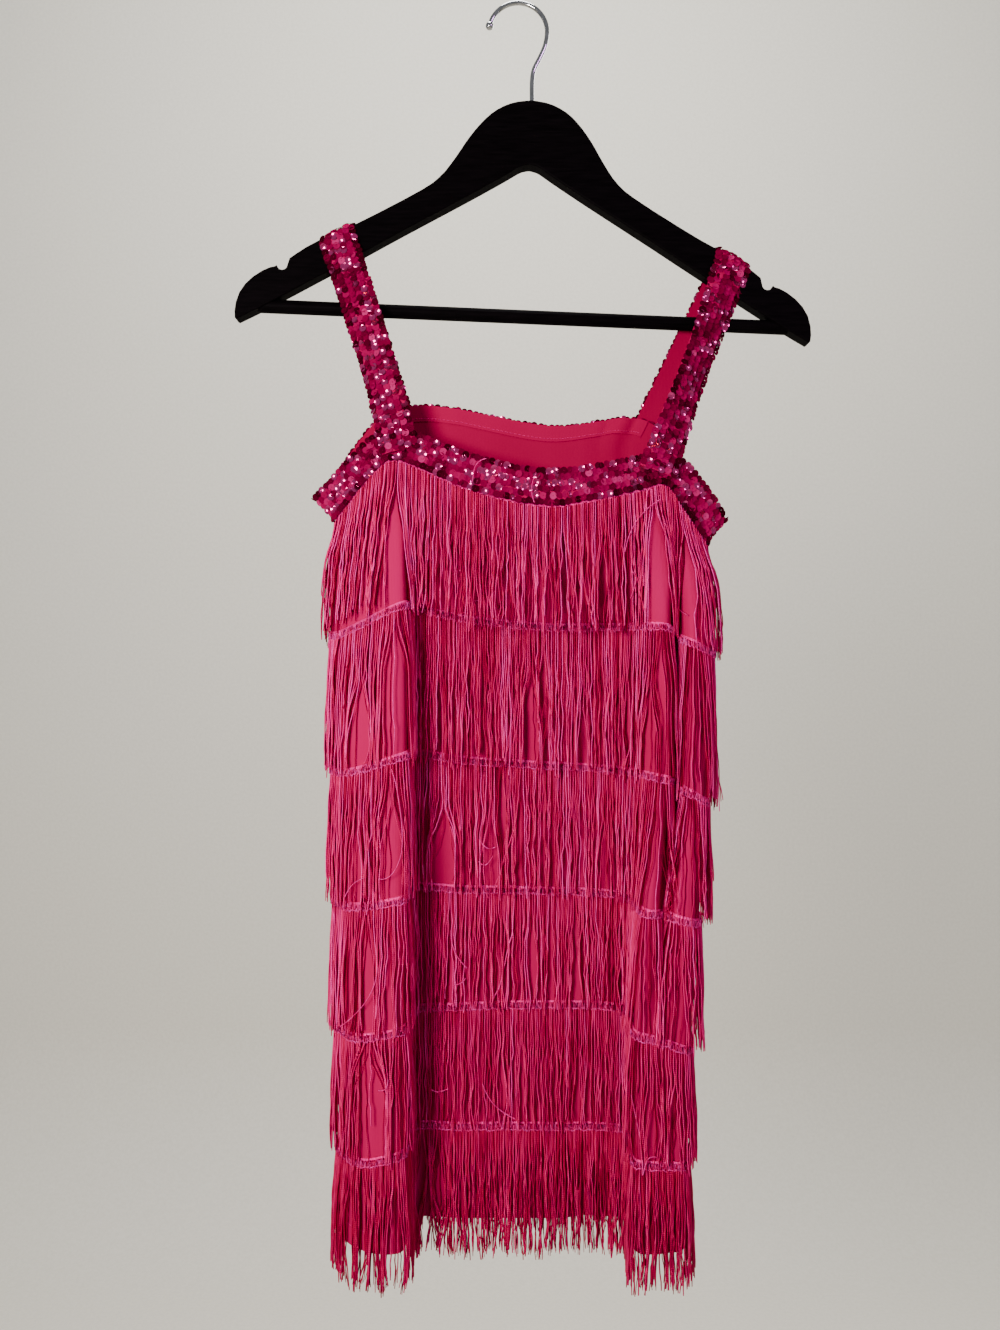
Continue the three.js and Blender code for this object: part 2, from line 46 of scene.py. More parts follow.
# ---------------------------------------- sizes, in millimetres

CLOTH_THICK = 1.1
FACING_THICK = 0.7
FACING_GAP = 0.3  # between the facing and the cloth
TAPE_HEIGHT = 7.0  # heading tape of a fringe
TAPE_OUT, TAPE_BACK = 1.0, 0.3  # how far the tape's two faces stand off the cloth
HEM_TURN = 14.0
HEM = -940.0
FRINGE_END = -969.0

PLACES = (
    "left_seam left_ridge left_foot centre_left centre right_foot right_ridge valley right_lobe"
    " right_seam right_edge back_right back_centre back_left left_edge"
).split()

# One row for each level line of the cloth, from the hem up: how far out the seams lie between ridge
# or valley and side edge, x and y of the edges and folds, and z of the line at five places.
LINE_COLUMNS = (
    "seam_share right_seam_share edge_y left_edge left_ridge left_foot left_lobe centre right_foot"
    " foot_y right_ridge valley valley_y right_lobe right_edge back"
    " z_left z_ridge z_centre z_right_ridge z_right"
).split()
LINES = [
    (0.56, 0.76, -18, -138, -88.5, -84, -55, -5, 83, -7, 85, 97, -57, -55, 123, 23,
     -940, -940, -940, -940, -940),
    (0.56, 0.76, -18, -138, -88, -84, -55, -5, 83, -7, 84, 97, -57, -55, 125, 23,
     -876, -869, -869, -875, -878),
    (0.58, 0.76, -18, -139.5, -88, -84, -55, -5, 83, -7, 84, 97, -55, -54, 128, 23,
     -785, -779, -775, -782, -794),
    (0.62, 0.78, -18, -141, -87.5, -83.5, -54, -6, 80, -9, 92, 106, -47, -53, 133.5, 22,
     -690, -684, -687, -694, -702),
    (0.7, 0.82, -17, -142.5, -87, -83, -50, -9, 70, -11, 106, 116, -24, -46, 140, 20,
     -592, -580, -590, -597, -614),
    (0.82, 0.88, -12, -144, -88.5, -82, -40, -15, 68, -17, 107.5, 117, -20, -38, 144.5, 18,
     -490, -469, -484, -485, -504),
    (0.94, 0.95, -5, -147, -92, -83, -29, -24, 68, -25, 108, 117, -20, -27, 148, 17,
     -438, -408, -430, -428, -454),
]
# The lower and the upper edge of the sequin bands, one point for each place.
BAND_FOOT = [
    (-142, -8, -401), (-100, -17, -356), (-82, -20, -360), (-42, -28, -378), (18, -31, -392),
    (62, -28, -386), (94, -21, -378), (110, -17, -374), (126, -13, -394), (143, -8, -419),
    (130, 9, -399), (93, 16, -347), (20, 17, -350), (-88, 16, -337), (-128, 9, -382),
]
NECK_EDGE = [
    (-158, -3, -383), (-100, -14, -331), (-80, -17, -337), (-38, -26, -355), (18, -30, -367),
    (62, -26, -362), (94, -18, -354), (113, -14, -349), (139, -9, -371), (158, -3, -399),
    (144, 9, -379), (102, 14, -321), (28, 15, -324), (-98, 14, -311), (-144, 9, -362),
]
BAND, TOP = 7, 8  # the level of the bands' lower edge, and of the neck edge

# Soft creases: place round the cloth, half its width in places, height, from level, to level. They
# open and close over CREASE_FADE levels. The last four are small folds of the back's neck.
CREASE_FADE = 1.5
CREASES = [
    (0.45, 0.16, -1.8, 0, 5.5),
    (3.5, 0.13, -1.6, 0, 6.2),
    (4.45, 0.1, -4.0, -1, 1.4),
    (4.75, 0.16, 1.6, 0.5, 5.5),
    (7.0, 0.26, -8.0, 1.8, 6.2),
    (7.45, 0.12, -1.4, 0, 5),
    (9.6, 0.16, -1.6, 0.5, 6),
    (11.3, 0.14, 2.0, -1, 5),
    (11.8, 0.12, -2.2, -1, 4.4),
    (12.5, 0.15, 2.2, -1, 6),
    (13.2, 0.12, -1.8, 0.6, 5),
    (14.5, 0.16, -1.6, 0, 5.5),
    (11.16, 0.035, 1.9, 5, 9.6),
    (11.3, 0.04, -1.9, 5, 9.6),
    (11.47, 0.05, 1.6, 5, 9.6),
    (12.6, 0.05, -1.5, 5, 9.6),
]
SEAM_PLACES = (0, 9)
SEAM_DEPTH, SEAM_HALF = 0.6, 0.05  # how deep a seam lies, and half its width in places

BANDS = [  # name, first and last place
    ("front_neck_band", 1, 7),
    ("right_underarm_band", 7, 11),
    ("back_neck_band", 11, 13),
    ("left_underarm_band", 13, 16),
]

# The fringe, from its top tier down.
TIERS = [7, 5, 4, 3, 2, 1]  # the level line that each tier hangs from
STRANDS = [1000, 1000, 1000, 1000, 1000, 1650]  # in each tier
STRAND_RADIUS = {"inner": 0.42, "outer": 0.56}
OUTER_SHARE = 0.4  # the share of the strands that lie in the outer layer
STRAND_STEPS = 16
STRAND_SIDES = 3
# Painted light and shade: the yarn is the same in every tier, and these lighten or darken each tier's
# strands and narrow the spread of their shades towards the hem, where less light falls.
TIER_PAINTED_SHADE = [0.37, 0.44, 0.47, 0.48, 0.46, 0.34]  # of each tier, on average
TIER_PAINTED_CONTRAST = [1.2, 1.1, 1.0, 0.85, 0.7, 0.55]  # between the shades of a tier's strands
# Strands hang in clumps. GATHER is the share of the way to its clump's middle that a strand goes.
CLUMP_SIZE = (3, 10)
GATHER = (0.05, 0.7)
CLUMP_DRIFT, STRAND_DRIFT = 1.2, 0.6  # how far aside the ends hang
CLUMP_WAVE, STRAND_WAVE, STRAND_KINK = (0.2, 0.9), 0.35, 0.2
CLUMP_TURNS, STRAND_TURNS = (1.0, 2.6), (2.5, 6)  # waves on the way down
STRAY_SHARE, STRAY_FAR = 0.03, 8
CLUMP_END, STRAND_END, END_MOST = 1.8, 2.7, 7  # how unevenly they end
SHORT_SHARE, SHORT_BY = 0.05, (5, 35)
STAYS_SHARE = 0.07  # of the strands, that lie across a parting
PARTING_RAMP = 36.0  # how far down a parting takes to open
PARTING_MARGIN = 4.5  # how far beside a parting its strands are pushed together
SIDE_PARTINGS = {"count": 9, "half": (2, 7), "below": (5, 45), "long": (40, 90)}  # sides and back
FRONT_PARTINGS = {"count": 7, "half": (1.5, 4), "below": (15, 60), "long": (25, 50)}
# The zigzag over the tape, and a small chain along its foot: middle, height, half a stitch, radius.
HEADING_ROWS = [(0.0, 4.0, 0.62, 0.32), (-2.2, 0.9, 0.9, 0.36)]
LOOSE_RADIUS = 0.38
LOOSE_OUT = 6.5  # how far in front of the cloth a loose thread lies

# Where the fringe of the front parts and the plain cloth shows: tier, x, width, from z, to z.
PARTINGS = [
    (1, -94, 9, -394, -470), (1, 101, 13, -397, -484), (1, 121, 7, -429, -461),
    (2, 115, 10, -484, -594), (3, 115, 9, -596, -692),
    (2, -93, 14, -490, -581), (2, -116, 12, -537, -583), (2, 7, 9, -520, -581), (2, 98, 12, -539, -597),
    (3, -94, 15, -616, -685), (3, -118, 7, -633, -684), (3, -60, 21, -632, -682),
    (3, -23, 11, -636, -682), (3, 104, 12, -665, -702),
    (4, -111, 9, -710, -780), (4, 102, 10, -702, -786),
    (5, -110, 25, -798, -873), (5, 94, 10, -824, -865),
    (6, -124, 12, -886, -939), (6, -77, 8, -880, -924), (6, -62, 10, -893, -926),
]
# Loose threads caught on the front, as x and z of the points that each goes through.
LOOSE_THREADS = [
    [(-60, -439), (-52, -445), (-41, -437)],
    [(-41, -433), (-41, -454), (-35, -464), (-28, -462)],
    [(-31, -647), (-25, -653), (-19, -652)],
    [(-32, -663), (-27, -666), (-21, -659)],
    [(-68, -839), (-64, -841), (-55, -838)],
    [(-103, -819), (-98, -818), (-96, -811)],
    [(79, -823), (87, -865), (87, -880), (91, -868), (97, -867)],
    [(-28, -455), (-13, -473)],
    [(104, -389), (78, -428)],
    [(83, -443), (86, -448), (82, -463)],
    [(114, -455), (124, -476)],
    [(-94, -588), (-88, -616), (-87, -650), (-95, -665), (-103, -667)],
    [(-114, -667), (-128, -681)],
    [(-104, -731), (-108, -748), (-119, -764), (-131, -774)],
    [(-53, -716), (-41, -745)],
    [(-49, -758), (-42, -753)],
    [(-29, -834), (-4, -861)],
    [(-36, -376), (-33, -363), (-26, -359)],
    [(11, -371), (10, -392)],
]

# The hanger and the straps over its arms.
HANGER_TILT = math.radians(2.4)
CROWN = (9.3, -76.9)
HANGER_THICK = 14.0
ARM_SLOPE = math.radians(26.5)
STRAP_WIDTH = 27.0
STRAP_STEPS = 9
STRAP_CROWN = 1.6  # how far the edges lie below the middle
STRAP_END_LEAN = math.radians(17)
STRAP_OVER = 1.9  # how far its turn over the arm lies off the arm's side
STRAP_ABOVE = 1.6
STRAP_TURN = [(1, -3), (0.96, -0.6), (0.8, 0.8), (0.5, 1)]  # shares of the way aside and up
# Name, side, where it crosses the arm (along it and up from the crown), front end, back end.
STRAPS = [
    ("left_strap", -1, 145.9, -107.95, (-91.5, -23.3, -350), (-94, 20.5, -330)),
    ("right_strap", 1, 159.5, -114.75, (103.5, -24.2, -366), (97, 20.5, -340)),
]
STRAP_BOW = {"left_strap": 2.5, "right_strap": 1.0}  # sideways, at the middle of the front run
STRAP_TWIST = {"left_strap": 20.0, "right_strap": 36.0}  # degrees outward, at the same place
WIRE_RADIUS = 1.8
HOOK_BALL = 3.1
HOOK_ARC = {"x": -1.5, "radius": 22.6, "from": 168, "to": -8, "points": 13}
HOOK_SIDES, HOOK_STEPS = 16, 120
BALL_ROWS, BALL_SIDES = 17, 24
HOOK_NECK = [(19.3, -32), (15.4, -41), (10.9, -50), (9.5, -58), (9.3, -76.5)]

SEQUIN_RADIUS = 2.8
SEQUIN_PITCH = 4.0  # along a row
SEQUIN_ROWS = 6
SEQUIN_SIDES = 10
SEQUIN_FLASHES = 0.22  # the share of them that flash in the light
SEQUIN_CUP = [(0.12, 0.0), (0.62, 0.04), (1.0, 0.2)]  # share of the radius, height in radii
BAND_OUT = (1.3, 0.5, 1.6)  # of the backing's outer face, its inner face and the sequins, off the cloth
STRAP_OUT = (-0.1, -0.9, 0.2)  # the same, off the strap's middle line
STITCH_PITCH, STITCH_SHARE, STITCH_RADIUS = 3.0, 0.72, 0.22


# ---------------------------------------- small geometry


def unit(vectors):
    return vectors / np.maximum(np.linalg.norm(vectors, axis=-1, keepdims=True), 1e-9)


def curve(points, at, closed=False):
    """Centripetal Catmull-Rom points through points[..., knot, axis]; `at` is counted in knots."""
    count = points.shape[-2]
    if closed:
        knot = np.floor(at).astype(int)
        around = [np.take(points, (knot + k) % count, axis=-2) for k in (-1, 0, 1, 2)]
    else:
        before = 2 * points[..., :1, :] - points[..., 1:2, :]
        after = 2 * points[..., -1:, :] - points[..., -2:-1, :]
        longer = np.concatenate([before, points, after], axis=-2)
        knot = np.minimum(np.floor(at), count - 2).astype(int)
        around = [np.take(longer, knot + k, axis=-2) for k in (0, 1, 2, 3)]
    p0, p1, p2, p3 = around
    first, here, last = (
        np.maximum(np.sqrt(np.linalg.norm(b - a, axis=-1, keepdims=True)), 1e-4)
        for a, b in ((p0, p1), (p1, p2), (p2, p3))
    )
    start = ((p1 - p0) / first - (p2 - p0) / (first + here) + (p2 - p1) / here) * here
    end = ((p2 - p1) / here - (p3 - p1) / (here + last) + (p3 - p2) / last) * here
    w = (at - knot)[:, None]
    bend = 3 * (p2 - p1) - 2 * start - end
    return p1 + start * w + bend * w**2 + (2 * (p1 - p2) + start + end) * w**3


def smooth_step(value):
    clipped = np.clip(value, 0, 1)
    return clipped * clipped * (3 - 2 * clipped)


def net_normals(net):
    """The outward unit normals of net[i along, j across]."""
    return unit(np.cross(np.gradient(net, axis=0), np.gradient(net, axis=1)))


def net_quads(index):
    """A quad for each cell of a net of point numbers."""
    quads = np.stack([index[:-1, :-1], index[1:, :-1], index[1:, 1:], index[:-1, 1:]], -1)
    return quads.reshape(-1, 4)


def ring_quads(index):
    """Quads between neighbouring rings of point numbers, index[..., ring, round]."""
    beside = np.roll(index, -1, axis=-1)
    rings = [index[..., :-1, :], index[..., 1:, :], beside[..., 1:, :], beside[..., :-1, :]]
    return np.stack(rings, -1).reshape(-1, 4)


def shell(outer, inner, closed=False):
    """Points and faces of a thin closed wall between two nets of points."""
    columns, rows = outer.shape[:2]
    points = np.concatenate([outer.reshape(-1, 3), inner.reshape(-1, 3)])
    index = np.arange(columns * rows).reshape(columns, rows)
    if closed:
        index = np.vstack([index, index[:1]])
    quads = net_quads(index)
    faces = [quads, quads[:, ::-1] + columns * rows]
    rims = [index[::-1, 0], index[:, -1]]
    if not closed:
        rims += [index[0, :], index[-1, ::-1]]
    for rim in rims:
        a, b = rim[:-1], rim[1:]
        faces.append(np.stack([a, b, b + columns * rows, a + columns * rows], -1))
    return points, np.concatenate(faces)


def tubes(paths, radius, sides=STRAND_SIDES):
    """Threads along paths[thread, step, axis], with a radius for each step."""
    tangent = unit(np.gradient(paths, axis=1))
    side = unit(np.cross(tangent, (0.0, 1.0, 0.05)))
    other = np.cross(side, tangent)
    angles = 2 * np.pi * np.arange(sides) / sides
    ring = np.cos(angles)[:, None] * side[..., None, :] + np.sin(angles)[:, None] * other[..., None, :]
    points = paths[:, :, None, :] + ring * np.broadcast_to(radius, paths.shape[:2])[..., None, None]
    index = np.arange(points.size // 3).reshape(points.shape[:3])
    return points.reshape(-1, 3), ring_quads(index)


def joined(parts):
    """One set of points and faces from several."""
    points, faces, offset = [], [], 0
    for part_points, part_faces in parts:
        points.append(part_points)
        faces.append(part_faces + offset)
        offset += len(part_points)
    return np.concatenate(points), np.concatenate(faces)


def new_object(name, points, faces, material):
    """A smooth mesh, from points in millimetres, as an object in the scene."""
    mesh = bpy.data.meshes.new(name)
    mesh.from_pydata(np.asarray(points, float) * 0.001, [], faces)
    mesh.polygons.foreach_set("use_smooth", np.ones(len(mesh.polygons), bool))
    mesh.materials.append(material)
    made = bpy.data.objects.new(name, mesh)
    bpy.context.scene.collection.objects.link(made)
    return made


def add_mesh(name, points, faces, material, slot, replaces=(), crisp=None, **values):
    """A piece of the part; each of `values` becomes an attribute, with a number for each point."""
    piece = new_object(name, points, faces, material)
    if crisp is not None:
        piece.data.set_sharp_from_angle(angle=math.radians(crisp))
    for label, value in values.items():
        attribute = piece.data.attributes.new(label, "FLOAT", "POINT")
        attribute.data.foreach_set("value", np.asarray(value, np.float32))
    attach(piece, "root")
    if replaces:
        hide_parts(*replaces)
    return piece


# ---------------------------------------- the cloth's surface

PER_SPAN = 24  # columns of the fine grid between two places, and rows between two levels
COLUMNS = PER_SPAN * len(PLACES)


def line_points(row):
    """The fifteen places of one level line, as points."""
    at = dict(zip(LINE_COLUMNS, row))

    def between(a, b, share):
        return a + (b - a) * share

    def seam(inner, edge, lobe, share, least, z):
        return (between(inner, edge, share), lobe + 3 + (share - least) * 24, z)

    z_left, z_ridge, z_centre = at["z_left"], at["z_ridge"], at["z_centre"]
    z_right_ridge, z_right = at["z_right_ridge"], at["z_right"]
    left, right, back = at["left_edge"], at["right_edge"], at["back"]
    return [
        seam(at["left_ridge"], left, at["left_lobe"], at["seam_share"], 0.56, z_left),
        (at["left_ridge"], at["left_lobe"], z_ridge),
        (at["left_foot"], at["centre"], z_ridge),
        (between(at["left_foot"], 18, 0.4), at["centre"], between(z_ridge, z_centre, 0.6)),
        (18, at["centre"], z_centre),
        (at["right_foot"], at["foot_y"], between(z_centre, z_right_ridge, 0.4)),
        (at["right_ridge"], at["right_lobe"], z_right_ridge),
        (at["valley"], at["valley_y"], between(z_right_ridge, z_right, 0.3)),
        (between(at["valley"], right, 0.36), at["right_lobe"], between(z_right_ridge, z_right, 0.6)),
        seam(at["valley"], right, at["right_lobe"], at["right_seam_share"], 0.76, z_right),
        (right, at["edge_y"], z_right),
        (right - 16, back - 2, z_right + 3),
        (0, back, z_centre),
        (left + 16, back - 2, z_left + 2),
        (left, at["edge_y"], z_left),
    ]


def make_cloth():
    """The fine grid of the cloth's outer face, cloth[row, column, axis], and its normals."""
    levels = np.array([line_points(row) for row in LINES] + [BAND_FOOT, NECK_EDGE], float)
    up_at = np.arange(TOP * PER_SPAN + 1) / PER_SPAN
    round_at = np.arange(COLUMNS) / PER_SPAN
    lines = curve(levels.transpose(1, 0, 2), up_at).transpose(1, 0, 2)
    grid = curve(lines, round_at, closed=True)
    normals = grid_normals(grid)
    relief = np.zeros(grid.shape[:2])
    half_round = len(PLACES) / 2
    for place, width, height, bottom, top in CREASES:
        away = (round_at - place + half_round) % len(PLACES) - half_round
        opened = smooth_step((up_at - bottom) / CREASE_FADE)
        along = opened * smooth_step((top - up_at) / CREASE_FADE)
        relief += height * np.exp(-((away / width) ** 2)) * along[:, None]
    for seam in SEAM_PLACES:
        away = (round_at - seam + half_round) % len(PLACES) - half_round
        relief -= SEAM_DEPTH * np.exp(-((away / SEAM_HALF) ** 2))
    # The turned hem is thicker, and its stitch line draws the cloth in.
    above_turn = grid[..., 2] - (HEM + HEM_TURN)
    relief += 0.5 * smooth_step(-above_turn / 2) - 0.5 * np.exp(-((above_turn / 1.5) ** 2))
    grid = grid + normals * relief[..., None]
    return grid, grid_normals(grid)


def grid_normals(grid):
    across = np.roll(grid, -1, axis=1) - np.roll(grid, 1, axis=1)
    return unit(np.cross(across, np.gradient(grid, axis=0)))


def sample(field, row, column):
    """A field[row, column, ...] between its grid points; columns go round."""
    row, column = np.broadcast_arrays(np.asarray(row, float), np.asarray(column, float))
    j = np.clip(np.floor(row), 0, field.shape[0] - 2).astype(int)
    i = np.floor(column).astype(int)
    up = np.clip(row - j, 0, 1)[..., None]
    beside = (column - i)[..., None]
    count = field.shape[1]
    i, k = i % count, (i + 1) % count
    low = field[j, i] * (1 - beside) + field[j, k] * beside
    high = field[j + 1, i] * (1 - beside) + field[j + 1, k] * beside
    return low * (1 - up) + high * up


cloth, cloth_normals = make_cloth()

# The same surface in level slices, so that a thread can be hung straight down over it.
SLICE = 2.5
heights = np.arange(FRINGE_END - 10, -300, SLICE)
slices = np.stack(
    [
        np.stack([np.interp(heights, cloth[:, i, 2], cloth[:, i, axis]) for i in range(COLUMNS)], 1)
        for axis in (0, 1)
    ],
    -1,
)
ring_step = np.roll(slices, -1, axis=1) - np.roll(slices, 1, axis=1)
slice_out = unit(np.stack([ring_step[..., 1], -ring_step[..., 0]], -1))


def at_height(field, z, column):
    return sample(field, (np.asarray(z) - heights[0]) / SLICE, column)


def over_cloth(z, column, out):
    """Points at these heights and columns of the cloth, moved out from it level."""
    facing = unit(at_height(slice_out, z, column))
    xy = at_height(slices, z, column) + facing * np.asarray(out)[..., None]
    return np.concatenate([xy, z[..., None]], -1)


def cloth_net(first, last, bottom, top, columns, rows, out, inset):
    """Points on the cloth between two places and two levels, moved out: net[column, row]."""
    column = np.linspace((first + inset) * PER_SPAN, (last - inset) * PER_SPAN, columns)[:, None]
    row = np.linspace(bottom * PER_SPAN, top * PER_SPAN, rows)[None, :]
    return sample(cloth, row, column) + sample(cloth_normals, row, column) * out


# ---------------------------------------- materials

# Colours along each material's own shade: position, red, green, blue.
KNIT_STOPS = [
    (0.1, 0.27, 0.0, 0.035), (0.4, 0.35, 0.0, 0.05),
    (0.65, 0.41, 0.0, 0.066), (0.85, 0.46, 0.0, 0.085),
]
# The yarn's darkest colours serve as painted shade on the inner strands, and its lightest as painted
# glints.
YARN_STOPS = [
    (0.0, 0.12, 0.0, 0.008), (0.4, 0.45, 0.0, 0.055),
    (0.75, 0.8, 0.007, 0.185), (1.0, 1.0, 0.05, 0.4),
]
HEADING_STOPS = [(0.0, 0.6, 0.0, 0.11), (0.5, 0.9, 0.01, 0.25), (1.0, 1.0, 0.08, 0.5)]
SEQUIN_STOPS = [
    (0.0, 0.03, 0.0, 0.004), (0.4, 0.16, 0.0, 0.026),
    (0.75, 0.33, 0.0, 0.07), (1.0, 0.62, 0.05, 0.23),
]
WOOD_STOPS = [(0.3, 0.001, 0.0006, 0.0008), (0.8, 0.003, 0.002, 0.0025)]
CHROME_STOPS = [(0.3, 0.34, 0.34, 0.34), (0.7, 0.5, 0.5, 0.51)]
WALL_STOPS = [(0.3, 0.78, 0.745, 0.64), (0.7, 0.84, 0.805, 0.70)]
WALES, COURSES = 0.0011, 0.0008  # the knit's pitch across and down, in metres


def new_material(name, roughness, **sockets):
    """A Principled material; uniform values are set on the shader's own sockets."""
    made = bpy.data.materials.new(name)
    made.use_nodes = True
    shader = made.node_tree.nodes["Principled BSDF"]
    shader.inputs["Roughness"].default_value = roughness
    for socket, value in sockets.items():
        shader.inputs[socket.replace("_", " ")].default_value = value
    return made, shader


def add_node(made, kind, inputs=None, **settings):
    node = made.node_tree.nodes.new(kind)
    for setting, value in settings.items():
        setattr(node, setting, value)
    for socket, value in (inputs or {}).items():
        if isinstance(value, bpy.types.NodeSocket):
            made.node_tree.links.new(value, node.inputs[socket])
        else:
            node.inputs[socket].default_value = value
    return node


def link(made, output, socket):
    made.node_tree.links.new(output, socket)


def ramp(made, factor, stops):
    """A colour ramp; stops are (position, red, green, blue)."""
    node = add_node(made, "ShaderNodeValToRGB", {"Fac": factor})
    elements = node.color_ramp.elements
    while len(elements) < len(stops):
        elements.new(0.5)
    for element, (position, *colour) in zip(elements, stops):
        element.position = position
        element.color = (*colour, 1)
    return node.outputs["Color"]


def noise(made, scale, detail=2.0, stretch=(1, 1, 1)):
    place = add_node(made, "ShaderNodeTexCoord").outputs["Object"]
    moved = add_node(made, "ShaderNodeMapping", {"Vector": place, "Scale": stretch})
    vector = moved.outputs["Vector"]
    node = add_node(made, "ShaderNodeTexNoise", {"Vector": vector, "Scale": scale, "Detail": detail})
    return node.outputs["Fac"]


def wave(made, period, direction):
    """Bands across one axis, with their period in metres."""
    place = add_node(made, "ShaderNodeTexCoord").outputs["Object"]
    scale = 2 * math.pi / (20 * period)
    inputs = {"Vector": place, "Scale": scale, "Distortion": 1.2, "Detail": 1.0, "Detail Scale": 0.4}
    node = add_node(made, "ShaderNodeTexWave", inputs, bands_direction=direction)
    return node.outputs["Fac"]


def combine(made, operation, a, b):
    node = add_node(made, "ShaderNodeMath", {0: a, 1: b}, operation=operation)
    return node.outputs["Value"]


def bump(made, shader, height, distance, strength=1.0):
    inputs = {"Height": height, "Distance": distance, "Strength": strength}
    node = add_node(made, "ShaderNodeBump", inputs)
    link(made, node.outputs["Normal"], shader.inputs["Normal"])


def attribute(made, name):
    return add_node(made, "ShaderNodeAttribute", attribute_name=name).outputs["Fac"]


def cloth_material(name, stops, sheen):
    """Smooth knit: fine wales and courses, a slow change of colour, and a darker inner side that is
    painted shade and partly the knit's duller reverse.
    """
    made, shader = new_material(name, 0.62, Sheen_Weight=sheen, Sheen_Roughness=0.4)
    shader.inputs["Sheen Tint"].default_value = (1.0, 0.0, 0.2, 1)
    shader.inputs["Specular IOR Level"].default_value = 0.0
    slow = combine(made, "MULTIPLY", noise(made, 14, 3, (1, 1, 0.5)), 0.5)
    # The face attribute darkens the inner sides: painted shade, partly the knit's duller reverse.
    face = combine(made, "MULTIPLY", attribute(made, "face"), 0.5)
    link(made, ramp(made, combine(made, "ADD", slow, face), stops), shader.inputs["Base Color"])
    knit = combine(made, "ADD", wave(made, WALES, "X"), wave(made, COURSES, "Z"))
    bump(made, shader, knit, 0.00012, 0.5)
    return made


def yarn_material(name, stops, roughness, metallic):
    """Shiny twisted yarn: each strand has its own shade, a slow noise in its colour paints glints along
    it, and its bump makes glints where it kinks.
    """
    made, shader = new_material(name, roughness, Metallic=metallic, Specular_IOR_Level=0.1)
    shader.inputs["Specular Tint"].default_value = (1.0, 0.2, 0.5, 1)
    # Painted glints: a slow noise lightens and darkens the colour along each strand.
    slow = combine(made, "SUBTRACT", noise(made, 260, 2, (1, 1, 0.15)), 0.5)
    mixed = combine(made, "ADD", attribute(made, "shade"), combine(made, "MULTIPLY", slow, 0.7))
    link(made, ramp(made, mixed, stops), shader.inputs["Base Color"])
    turned = combine(made, "MULTIPLY", attribute(made, "along"), 4.5)
    twist = add_node(made, "ShaderNodeMath", {0: turned}, operation="SINE").outputs["Value"]
    kinks = combine(made, "MULTIPLY", noise(made, 330, 2, (1, 1, 0.6)), 7.0)
    bump(made, shader, combine(made, "ADD", twist, kinks), 0.00012, 0.8)
    return made


def sequin_material():
    """Film in dark magenta: each sequin has its own shade, and a few of them flash like metal."""
    made, shader = new_material("sequin_film", 0.4, Specular_IOR_Level=0.0)
    link(made, ramp(made, attribute(made, "shade"), SEQUIN_STOPS), shader.inputs["Base Color"])
    flash = attribute(made, "flash")
    link(made, combine(made, "MULTIPLY", flash, 0.9), shader.inputs["Metallic"])
    worn = combine(made, "MULTIPLY", noise(made, 900, 2), 0.1)
    dull = add_node(made, "ShaderNodeMapRange", {"Value": flash, "To Min": 0.4, "To Max": 0.12})
    link(made, combine(made, "ADD", dull.outputs["Result"], worn), shader.inputs["Roughness"])
    return made


def wood_material():
    """Black painted wood: matt, with a faint open grain along the arms."""
    made, shader = new_material("black_wood", 0.5, Specular_IOR_Level=0.01)
    grain = noise(made, 60, 6, (1, 8, 12))
    link(made, ramp(made, grain, WOOD_STOPS), shader.inputs["Base Color"])
    gloss = add_node(made, "ShaderNodeMapRange", {"Value": grain, "To Min": 0.42, "To Max": 0.62})
    link(made, gloss.outputs["Result"], shader.inputs["Roughness"])
    bump(made, shader, grain, 0.0002, 0.35)
    return made


def chrome_material():
    made, shader = new_material("chrome_wire", 0.15, Metallic=1.0)
    dull = noise(made, 300, 3)
    link(made, ramp(made, dull, CHROME_STOPS), shader.inputs["Base Color"])
    gloss = add_node(made, "ShaderNodeMapRange", {"Value": dull, "To Min": 0.05, "To Max": 0.13})
    link(made, gloss.outputs["Result"], shader.inputs["Roughness"])
    return made


def wall_material():
    made, shader = new_material("pale_wall", 0.9)
    rough = noise(made, 120, 4)
    link(made, ramp(made, rough, WALL_STOPS), shader.inputs["Base Color"])
    bump(made, shader, rough, 0.0008, 0.3)
    return made


PINK = cloth_material("pink_knit", KNIT_STOPS, 0.12)
YARN = yarn_material("rayon_yarn", YARN_STOPS, 0.4, 0.55)
HEADING = yarn_material("heading_yarn", HEADING_STOPS, 0.45, 0.3)
SEQUINS = sequin_material()
WOOD = wood_material()
CHROME = chrome_material()
WALL = wall_material()


# ---------------------------------------- camera, lights and stage

CAMERA = {"place": (-0.0155, -0.850, -0.5128), "lens": 29.6, "sensor": 36}
# Name, place, target, diameter, power, colour; the last one lights only the wall behind.
LIGHTS = [
    ("key", (-0.48, -1.0, -0.4), (0, 0, -0.5), 0.36, 18.8, (1.0, 0.93, 0.9)),
    ("fill", (0.8, -0.7, 0.16), (0, 0, -0.3), 0.3, 4.4, (0.85, 0.45, 1.0)),
    ("back_key", (0.7, 1.2, 0.5), (0, 0, -0.55), 0.8, 14, (1, 1, 1)),
    ("wall_wash", (0.0, 0.25, 1.9), (0, 2.3, -1.2), 1.2, 95, (1, 1, 1)),
]
WORLD_COLOUR, WORLD_STRENGTH = (0.93, 0.95, 1.0), 0.33
FLOOR_Z, WALL_Y, WALL_TOP, TURN_RADIUS = -2050.0, 2300.0, 3500.0, 500.0
FLOOR_FRONT, STAGE_HALF = -5000.0, 4500.0
TURN_STEPS = 17


